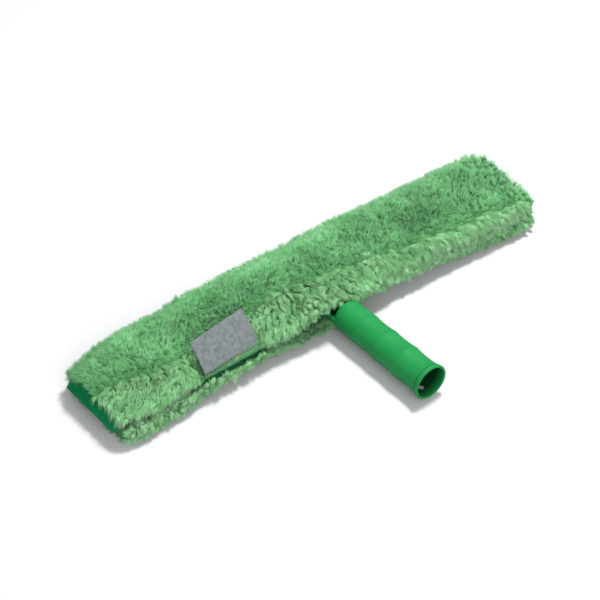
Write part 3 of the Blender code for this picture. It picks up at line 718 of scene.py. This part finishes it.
def fibre_mesh(name, paths, radii, tones, material):
    """Closed tapered three-sided fibres on the sleeve. paths is (fibres, points, 3), and the
    last point is the tip."""
    count, points = paths.shape[:2]
    rings = points - 1
    axis = unit(paths[:, -1] - paths[:, 0])
    helper = np.where(np.abs(axis[:, 2:3]) > 0.8, [[1.0, 0, 0]], [[0, 0, 1.0]])
    side = unit(np.cross(axis, helper))
    other = np.cross(axis, side)
    levels = []
    for ring in range(rings):
        width = (radii * (1.0 - 0.55 * (ring / rings) ** 1.5))[:, None, None]
        angles = (0.5, 0.5 + 2 * math.pi / 3, 0.5 + 4 * math.pi / 3)
        corners = np.stack([math.cos(a) * side + math.sin(a) * other for a in angles], axis=1)
        levels.append(paths[:, ring:ring + 1] + width * corners)
    vertices = np.concatenate([*levels, paths[:, -1:]], axis=1)
    pattern = [(2, 1, 0)]
    for ring in range(rings - 1):
        for k in range(3):
            p, q = 3 * ring + k, 3 * ring + (k + 1) % 3
            pattern += [(p, q, q + 3), (p, q + 3, p + 3)]
    last = 3 * (rings - 1)
    pattern += [(last + k, last + (k + 1) % 3, last + 3) for k in range(3)]
    per_fibre = vertices.shape[1]
    faces = np.array(pattern)[None] + (np.arange(count) * per_fibre)[:, None, None]
    obj = mesh_object(name, vertices.reshape(-1, 3), faces.reshape(-1, 3), material)
    # U is the fibre's tone, a little different on each of its sides, and V runs root to tip.
    along = np.concatenate([np.repeat(np.arange(rings) / rings, 3), [1.0]])
    across = np.concatenate([np.tile([-0.03, 0.0, 0.03], rings), [0.0]])
    u = np.repeat(tones, per_fibre) + np.tile(across, count)
    uv = np.stack([u, np.tile(along, count)], axis=1)
    give_uv(obj, FIBRE_UV, 0.02 + 0.96 * np.clip(uv, 0, 1))
    ride_sleeve(obj)


def bent_paths(root, middle, tip, points):
    """Paths of so many points from root to tip, each drawn towards middle on its way."""
    share = np.linspace(0, 1, points)[None, :, None]
    return (root[:, None] * (1 - share) ** 2 + 2 * middle[:, None] * share * (1 - share)
            + tip[:, None] * share ** 2)


def keep_above_floor(paths):
    paths[..., 2] = np.maximum(paths[..., 2], FLOOR_GAP)
    return paths


# The label is held up by the pile in front of and under it. Its corners, in mm.
LABEL = {"low left": (-138.2, -35.4, 26.1), "low right": (-79.5, -28.3, 23.4),
         "top left": (-135.1, -11.0, 41.0), "top right": (-76.2, -0.7, 38.0)}
LABEL_SIZE = (0.060, 0.036)
LABEL_THICKNESS, LABEL_CLEARANCE = 0.6 * MM, 1.0 * MM
LABEL_SQUARES = (30, 18)


def clear_label(paths):
    """Presses fibres down where they would poke through the label."""
    low_left, low_right, top_left, top_right = (np.array(c) * MM for c in LABEL.values())
    middle = (low_left + low_right + top_left + top_right) / 4
    across = (low_right - low_left + top_right - top_left) / 4
    up = (top_left - low_left + top_right - low_right) / 4
    out = unit(np.cross(across, up))
    twist = ((low_left + top_right - low_right - top_left) / 4) @ out
    place = (paths - middle) @ np.linalg.inv(np.stack([across, up, out]))
    inside = (np.abs(place[..., 0]) < 1.015) & (np.abs(place[..., 1]) < 1.06)
    over = place[..., 2] - twist * place[..., 0] * place[..., 1] + LABEL_CLEARANCE
    return paths - np.where(inside, np.maximum(over, 0), 0)[..., None] * out


def thinned(x, key, rng):
    """Which fibres to keep: few beside the label's left edge, which stands clear of them."""
    beside_label = between(x, -143.5, -138.0, 1.5) * (key > 15.8) * (key < 21.2)
    return rng.uniform(0, 1, len(x)) > 0.85 * beside_label


U_SHIFT = 0.3  # keeps the distance along the bar positive in the noise's and tufts' plane


def grow(name, keys, places, density, length, width, tone, material, seed, lean=0.6,
         pitch=3.2, gather=0.5, points=3, spread=0.4, swirl=0.35, rough=0.25, depth=1.0,
         contrast=0.07):
    """Roots fibres on the skin between two keys and two places, and gathers them in tufts.

    density is fibres per square mm. length is a number or a table by key, width a fibre's
    radius and pitch the distance between tufts, all in mm. lean is how much of brush() is
    added to the normal. spread, swirl and rough are how much the direction differs by tuft,
    by area and by fibre. depth is how much the partings count, gather how far a tip is drawn
    to its tuft's, and contrast how much the tufts' tones differ."""
    rng = np.random.default_rng(seed)
    i_low, i_high = [(x - SKIN_X[0]) / SKIN_STEP for x in places]
    j_low, j_high = keys[0] * STEPS, keys[1] * STEPS
    arc = ARC[round(j_high)] - ARC[round(j_low)]
    count = int(density * arc / MM * (places[1] - places[0]) * (1.0))
    i, j = rng.uniform(i_low, i_high, count), rng.uniform(j_low, j_high, count)
    kept = thinned(SKIN_X[0] + i * SKIN_STEP, j / STEPS, rng)
    i, j = i[kept], j[kept]
    count = len(i)
    x, key = SKIN_X[0] + i * SKIN_STEP, j / STEPS

    # Each fibre's tuft: where its centre is on the skin, and its five random numbers.
    u, v = x * MM + U_SHIFT, np.interp(j, np.arange(len(ARC)), ARC)
    number, cu, cv = tufts(u, v, pitch * MM, SEED + 50)
    ci = np.clip(((cu - U_SHIFT) / MM - SKIN_X[0]) / SKIN_STEP, 0, len(SKIN_X) - 1.001)
    cj = np.interp(np.clip(cv, 0, ARC[-1] - 1e-6), ARC, np.arange(len(ARC)))
    root, centre = read_grid(SKIN, i, j), read_grid(SKIN, ci, cj)
    normal = unit(read_grid(SKIN_NORMAL, ci, cj))
    along, round_it = read_grid(SKIN_ALONG, ci, cj), read_grid(SKIN_ROUND, ci, cj)
    tuft = np.random.default_rng(SEED + 60).normal(0, 1, (CELLS ** 2, 5)).clip(-1.7, 1.7)
    tuft_round, tuft_along, tuft_tall, tuft_tone, tuft_gather = tuft[number].T

    # The way they stand.
    swirl_u = lattice_noise(u / 0.019 + 40, v / 0.017 + 9, SEED + 3)
    swirl_v = lattice_noise(u / 0.019 + 90, v / 0.017 + 70, SEED + 4)
    pit, out_u, out_v = pits(u, v)
    pit *= depth
    side = lean * brush(x, key)
    side += (spread * tuft_round + swirl * swirl_v + 1.1 * pit * out_v)[:, None] * round_it
    side += (spread * tuft_along + swirl * swirl_u + 1.1 * pit * out_u)[:, None] * along
    spots = spots_at(x, key)
    for spot, share in spots:
        side += share[:, None] * np.array([0.0, *spot.brush])
    direction = unit(normal + side)

    # Their lengths.
    if not isinstance(length, (int, float)):
        length = by_table(length, key)
    tall = length * (1 - 0.35 * pit) * (1 + sum(spot.longer * share for spot, share in spots))
    for spot, share in spots:
        least, least_key = spot.least
        tall = np.maximum(tall, least * share * (key > least_key))
    tall *= 1 - sum(spot.shorter * share for spot, share in spots)
    uncropped = 1 - CROPPED_LESS * cropped(x, key)
    sewn = risen(x, SLIT_END_X, SLIT_END_X + 12) * between(key, 13.2, 18.5, 0.5)
    tall = np.maximum(tall * uncropped, SEWN_LEAST * sewn * uncropped)
    own = rng.normal(0, 1, (count, 3))
    ragged = risen(x, 190, 210)
    clumpy = clumped(x, key)
    uneven = (0.12 + 0.22 * ragged + 0.16 * clumpy) * tuft_tall - 0.12 * ragged
    reach = tall * np.clip(1 + uneven + 0.10 * rng.normal(0, 1, count), 0.4, 1.5) * MM

    # Their tips, drawn to the tuft's tip, and the paths to them.
    tuft_tip = centre + direction * (tall * np.clip(1 + uneven, 0.4, 1.5) * MM)[:, None]
    own_tip = root + unit(direction + rough * own) * reach[:, None]
    pull = (gather + 0.35 * ragged + 0.2 * clumpy) * (1 + 0.5 * tuft_gather)
    pull = np.clip(pull, 0.05, 0.85)[:, None]
    tip = own_tip * (1 - pull) + tuft_tip * pull + own * STRAY
    paths = bent_paths(root, root + normal * (reach * 0.55)[:, None], tip, points)
    if points > 3:
        paths[:, 1:-1] += STRAY * rng.normal(0, 1, (count, points - 2, 3))
    paths[:, 0] -= normal * ROOT_DEPTH
    paths = keep_above_floor(clear_label(paths))
    radii = width * MM * rng.uniform(0.75, 1.25, count)

    # Their tones.
    patch = lattice_noise(u / 0.024 + 5, v / 0.018 + 60, SEED + 5)
    tones = tone + contrast * (1 + 0.9 * clumpy) * tuft_tone + 0.21 * patch
    # Fibres in a parting are darkened a little: painted shade.
    tones += 0.08 * rng.normal(0, 1, count) - 0.12 * pit
    # Painted shade in the groove and the slit, and the patches' painted sheen and shade.
    tones += by_table(KEY_PAINTED_SHADE, key) * (1 - sewn) + painted_nap_sheen(x, v)
    # The spots' tones, darkened ones being painted shade.
    tones += sum(spot.tone * share for spot, share in spots)
    if keys[1] == LOWER_LIP:
        # The lower roll's tone, with painted shade near the neck.
        tones += table(LOW_TONE_AND_SHADE, x)
    fibre_mesh(name, paths, radii, tones, material)


# ---- build
def paint(node, material):
    """Gives one of the CAD's own pieces a material."""
    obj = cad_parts[node]
    obj.data.materials.clear()
    obj.data.materials.append(material)


def build_sleeve():
    """The three long panels and their pile. It returns the front pile's material."""
    under = undercoat_material()
    bases = (("top_pile_base", "top_pile_panel", 0, BACK_SEAM, top_inner),
             ("bottom_pile_base", "bottom_pile_panel", BACK_SEAM, LOWER_LIP, bottom_inner),
             ("front_pile_base", "front_pile_panel", UPPER_LIP, KEYS, front_inner))
    for name, node, start, stop, inner in bases:
        obj = ride_sleeve(undercoat_body(name, start, stop, inner, under))
        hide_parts(node)
    green = pile_material("pile_top", (0.050, 0.235, 0.068), (0.086, 0.338, 0.112),
                          (0.165, 0.450, 0.188))
    # The front pile's material is a paler copy of the top pile's: painted light on the lit front
    # of the sleeve.
    painted_light_pile = pile_material("pile_front_painted_light", (0.070, 0.275, 0.086), (0.150, 0.420, 0.160),
                         (0.280, 0.570, 0.280))
    top_length = ((0, 5.0), (1, 6.5), (2, 8.0), (6, 8.0))
    front_length = ((16, 2.5), (17, 4.5), (18, 6.5), (19, 9.0), (20, 10.0), (21.3, 7.5), (22, 5.0))
    low_length = ((11, 5.0), (12.5, 6.5), (13.2, 6.0), (14, 4.5), (14.6, 3.0), (15, 2.2))
    for k, span in enumerate(spans(5)):
        grow(f"top_pile_{k + 1}", (0, 4.5), span, 3.1, top_length, 0.24, 0.50, green,
             SEED + 100 + k, lean=0.6, pitch=2.4, gather=0.2, spread=0.24, swirl=0.55, depth=0.5)
    for k, span in enumerate(spans(4)):
        grow(f"front_pile_{k + 1}", (UPPER_LIP, KEYS), span, 2.3, front_length, 0.25, 0.52, painted_light_pile,
             SEED + 200 + k, lean=1.15, pitch=4.2, gather=0.55, points=4, rough=0.2,
             contrast=0.13)
    for k, span in enumerate(spans(2)):
        grow(f"back_pile_{k + 1}", (4.5, 7.5), span, 2.2, 8.0, 0.28, 0.50, green,
             SEED + 150 + k, lean=0.5, pitch=3.0, gather=0.45, spread=0.35)
        grow(f"lower_pile_{k + 1}", (11.5, LOWER_LIP), span, 2.1, low_length, 0.27, 0.48, painted_light_pile,
             SEED + 300 + k, lean=0.8, pitch=3.8, gather=0.6, points=4, rough=0.2, contrast=0.13)
    grow("sewn_front_pile", (LOWER_LIP, UPPER_LIP), (SLIT_END_X + 4, SKIN_END), 2.2, 7.0, 0.26,
         0.45, painted_light_pile, SEED + 350, lean=0.9, pitch=4.0, gather=0.5, points=4, rough=0.2)
    grow("under_pile", (7.5, 11.5), (SKIN_START, SKIN_END), 0.6, 5.5, 0.40, 0.42, green,
         SEED + 400, lean=0.6)
    return painted_light_pile


# The end's dome, from its rim to its top: the height in mm, and the size as a share of the
# rim's. By y, in mm: the share of that height, the pile's length in mm, and how far the pile
# leans back.
CAP_DOME = ((0.0, 1.0), (1.4, 0.985), (2.6, 0.93), (3.6, 0.82), (4.3, 0.62), (4.8, 0.35),
            (4.95, 0.06))
CAP_TOP = 5.0
CAP_BULGE = ((-42, 0.0), (-33, 0.05), (-20, 0.25), (5, 0.5), (50, 0.9))
CAP_LENGTH = ((-44, 2.6), (-34, 1.5), (-22, 2.0), (0, 4.0), (25, 6.5), (50, 8.0))
CAP_LEAN = ((-44, 1.8), (-34, 1.8), (-20, 0.7), (0, 0.0))
CAP_FIBRES, CAP_FIBRES_QUICK = 7500, 2000


def cap_base(centre, rings):
    """The closed dome under the end's pile, with a flat bottom at the rim."""
    index = numbered(rings)
    ring, top, bottom = index.shape[1], index.size, index.size + 1
    vertices = [*rings.reshape(-1, 3), centre + np.array([CAP_TOP * MM, 0, 0]), centre]
    faces = list(tube_quads(index))
    for k in range(ring):
        n = (k + 1) % ring
        faces += [(index[-1, k], index[-1, n], top), (index[0, n], index[0, k], bottom)]
    return solid_object("end_pile_base", vertices, faces, undercoat_material())


def build_cap(painted_light_pile):
    """The right-hand end: a shallow dome that closes the tube, with its own pile."""
    rim = SKIN[-1]
    centre = rim.mean(axis=0)
    rings = []
    for bulge, size in CAP_DOME:
        ring = centre + (rim - centre) * size
        ring[:, 0] += bulge * MM * by_table(CAP_BULGE, ring[:, 1] / MM)
        rings.append(ring)
    rings = np.array(rings)
    base = ride_sleeve(cap_base(centre, rings))
    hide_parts("end_cap_panel")

    rng = np.random.default_rng(SEED + 500)
    count = CAP_FIBRES
    a = rng.integers(0, rings.shape[1], count)
    depth = rng.uniform(0, 1, count) ** 0.6
    level = depth * (len(rings) - 1)
    low = np.clip(level.astype(int), 0, len(rings) - 2)
    part = (level - low)[:, None]
    spots = rings[low, a] * (1 - part) + rings[low + 1, a] * part
    spots += rng.normal(0, 0.4 * MM, (count, 3)) * np.array([0, 1, 1])
    away = unit(spots - centre)
    normal = unit(away * (0.35 + 0.9 * (1 - depth))[:, None] + np.array([1.0, 0, 0]))
    own = rng.normal(0, 1, (count, 3))
    number = tufts(spots[:, 1] + U_SHIFT, spots[:, 2] + U_SHIFT, 3.2 * MM, SEED + 51)[0]
    tuft = np.random.default_rng(SEED + 61).normal(0, 1, (CELLS ** 2, 4))[number]
    y, z = spots[:, 1] / MM, spots[:, 2] / MM
    low_front = risen(-z, -14, -10) * risen(-y, -5, 5)
    tall = by_table(CAP_LENGTH, y) + 3.0 * low_front
    reach = (tall * MM * (1 + 0.15 * tuft[:, 0] + 0.12 * own[:, 0]))[:, None]
    lean = by_table(CAP_LEAN, y)[:, None] * np.array([-0.5, -1.0, -0.5])
    tip = spots + unit(normal + lean + 0.45 * tuft[:, 1:4] + 0.2 * own) * reach
    paths = bent_paths(spots, spots + normal * reach * 0.45, tip, 4)
    paths[:, 0] -= normal * ROOT_DEPTH
    paths = keep_above_floor(paths)
    radii = 0.28 * MM * rng.uniform(0.75, 1.25, count)
    tones = 0.46 + 0.10 * tuft[:, 3] + 0.10 * own[:, 1]
    fibre_mesh("end_pile", paths, radii, tones, painted_light_pile)


def build_label():
    """The woven label: tucked into the slit, then bent back over the flattened front lobe."""
    cloth = woven_material("woven_label", (0.022, 0.036, 0.042), (0.175, 0.195, 0.190), 0.55)
    low_left, low_right, top_left, top_right = (np.array(c) for c in LABEL.values())
    across, up = LABEL_SQUARES
    s = np.linspace(0, 1, across + 1)[:, None]
    normal = unit(np.cross(low_right - low_left, top_left - low_left))
    # Its sewn edge lies in the slit, at this y and z, and runs from there to the fold.
    tuck_end = (low_left + (low_right - low_left) * s) * [1, 0, 0] + [0, -32.6, 21.7]
    fold = low_left * (1 - s) + low_right * s + [0, 0.6, -1.0]
    rows = [tuck_end * (1 - t) + fold * t for t in (0.0, 0.35, 0.7)]
    for t in np.linspace(0, 1, up + 1):
        left, right = low_left * (1 - t) + top_left * t, low_right * (1 - t) + top_right * t
        row = left * (1 - s) + right * s
        bow = 0.9 * math.sin(math.pi * t) + 0.35 * np.sin(7.0 * s + 3 * t) * t
        rows.append(row + bow * normal)
    grid = np.array(rows) * MM
    index = numbered(grid)
    a, b = index[:-1, :-1], index[1:, :-1]
    quads = np.stack([a, a + 1, b + 1, b], axis=-1).reshape(-1, 4)
    label = mesh_object("woven_label", grid.reshape(-1, 3), quads, cloth)
    width, height = np.array(LABEL_SIZE) / MM
    uu, vv = np.meshgrid(np.linspace(0, width, across + 1), np.linspace(0, height, len(rows)))
    give_uv(label, CLOTH_UV, np.stack([uu.ravel(), vv.ravel()], axis=1))
    solid = label.modifiers.new("thickness", "SOLIDIFY")
    solid.thickness = LABEL_THICKNESS
    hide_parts("care_label", "label_stitching")
    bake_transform(label)


# ---- seams and tapes
def skin_line(x_low, x_high, step, key, lift):
    """Points along the skin at one key, lifted off it. All but key is in mm."""
    x = np.arange(x_low, x_high, step)
    i, j = (x - SKIN_X[0]) / SKIN_STEP, np.full(len(x), key * STEPS)
    return read_grid(SKIN, i, j) + read_grid(SKIN_NORMAL, i, j) * lift * MM


def thread_piece(name, points, radius_mm, material, node, closed=False):
    """A sewing thread through the points, in place of a CAD node."""
    curve = bpy.data.curves.new(name, "CURVE")
    curve.dimensions = "3D"
    curve.bevel_depth = radius_mm * MM
    curve.bevel_resolution = 1
    curve.use_fill_caps = True
    spline = curve.splines.new("POLY")
    spline.points.add(len(points) - 1)
    spline.points.foreach_set("co", np.c_[points, np.ones(len(points))].ravel())
    spline.use_cyclic_u = closed
    curve.materials.append(material)
    obj = ride_sleeve(new_object(name, curve))
    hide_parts(node)


def running_stitch(points, swing_mm):
    """Moves the points down and up by turns, as a seam's stitches go."""
    points[:, 2] += np.where(np.arange(len(points)) % 2, 1, -1) * swing_mm * MM
    return points


def tape_piece(name, keys, node, material):
    """A binding tape folded over the slit's edge: a thin closed band on the skin."""
    edges = ((keys[0], -0.3), (keys[0], 0.45), (keys[1], 0.45), (keys[1], -0.3))
    lines = [skin_line(SKIN_START + 1.5, SLIT_END_X, 4.0, key, lift) for key, lift in edges]
    loop = np.stack(lines, axis=1)
    index = numbered(loop)
    faces = [*tube_quads(index), index[0, ::-1], index[-1]]
    obj = ride_sleeve(solid_object(name, loop.reshape(-1, 3), faces, material))
    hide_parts(node)


def build_seams():
    thread = thread_material("sewing_thread", (0.020, 0.130, 0.035), (0.060, 0.240, 0.075))
    tape = tape_material()
    first, last = SKIN_START + 3, SKIN_END - 3
    front_seam = (LOWER_LIP + UPPER_LIP) / 2
    for side, start, key in (("upper", first, 0), ("front", SLIT_END_X + 4, front_seam),
                             ("back", first, BACK_SEAM)):
        line = running_stitch(skin_line(start, last, 2.5, key, 0.25), 0.2)
        thread_piece(side + "_seam_thread", line, 0.4, thread, side + "_seam_stitching")
    rim = SKIN[-1, ::2] + SKIN_NORMAL[-1, ::2] * 0.1 * MM
    thread_piece("end_seam_thread", rim, 0.45, thread, "end_seam_stitching", closed=True)
    bartack = skin_line(SLIT_END_X + 0.5, SLIT_END_X + 3.0, 0.3, front_seam, 0.5)
    thread_piece("slit_bartack_thread", running_stitch(bartack, 2.6), 0.22, thread, "slit_bartack")
    tape_piece("slit_tape_upper", (UPPER_LIP, UPPER_LIP + 0.35), "slit_hem_upper", tape)
    tape_piece("slit_tape_lower", (LOWER_LIP - 0.35, LOWER_LIP), "slit_hem_lower", tape)
    for node in ("mouth_hem_top", "mouth_hem_bottom"):
        paint(node, tape)


def build_tbar():
    # The crossbar is the grip's plastic painted darker and more teal: painted shade, as it lies in
    # the sleeve's shadow.
    bar = plastic_nodes("bar_plastic_painted_shade", (0.001, 0.112, 0.038), (0.002, 0.130, 0.045), 0.04)
    steel = steel_material()
    paint("crossbar", bar.material)
    paint("handle", grip_material())
    for node in ("fixing_pin_left", "fixing_pin_right"):
        paint(node, steel)


def turn_to(obj, direction):
    """Turns a light or a camera to look in a direction."""
    obj.rotation_mode = "QUATERNION"
    obj.rotation_quaternion = direction.to_track_quat("-Z", "Y")


def build_stage():
    mesh = bpy.data.meshes.new("floor")
    r = FLOOR_REACH
    mesh.from_pydata([(-r, -r, 0), (r, -r, 0), (r, r, 0), (-r, r, 0)], [], [(0, 1, 2, 3)])
    m = Nodes("pale_floor")
    m.set(Base_Color=FLOOR_COLOUR, Roughness=0.9, Specular_IOR_Level=0.0)
    mesh.materials.append(m.material)
    floor = new_object("floor", mesh)

    world = bpy.data.worlds.new("studio")
    bpy.context.scene.world = world
    world.use_nodes = True
    sky = world.node_tree.nodes["Background"]
    sky.inputs["Color"].default_value = (1, 1, 1, 1)
    sky.inputs["Strength"].default_value = SKY_STRENGTH

    for name, place, power, size in LIGHTS:
        light = bpy.data.lights.new(name, "AREA")
        light.energy, light.size = power, size
        obj = new_object(name, light)
        obj.location = place
        turn_to(obj, -Vector(place))


def build_camera():
    camera = bpy.data.cameras.new("camera")
    camera.lens = LENS_MM
    camera.sensor_width = SENSOR_MM
    camera.clip_start, camera.clip_end = 0.05, 20.0
    obj = new_object("camera", camera)
    a, e = math.radians(AZIMUTH), math.radians(ELEVATION)
    back = Vector((math.sin(a) * math.cos(e), -math.cos(a) * math.cos(e), math.sin(e)))
    obj.location = LOOK_AT + back * DISTANCE
    turn_to(obj, -back)
    bpy.context.scene.camera = obj
    bpy.context.scene.view_settings.view_transform = "Standard"


build_camera()
build_stage()
build_tbar()
painted_light_front_pile = build_sleeve()
build_cap(painted_light_front_pile)
build_label()
build_seams()
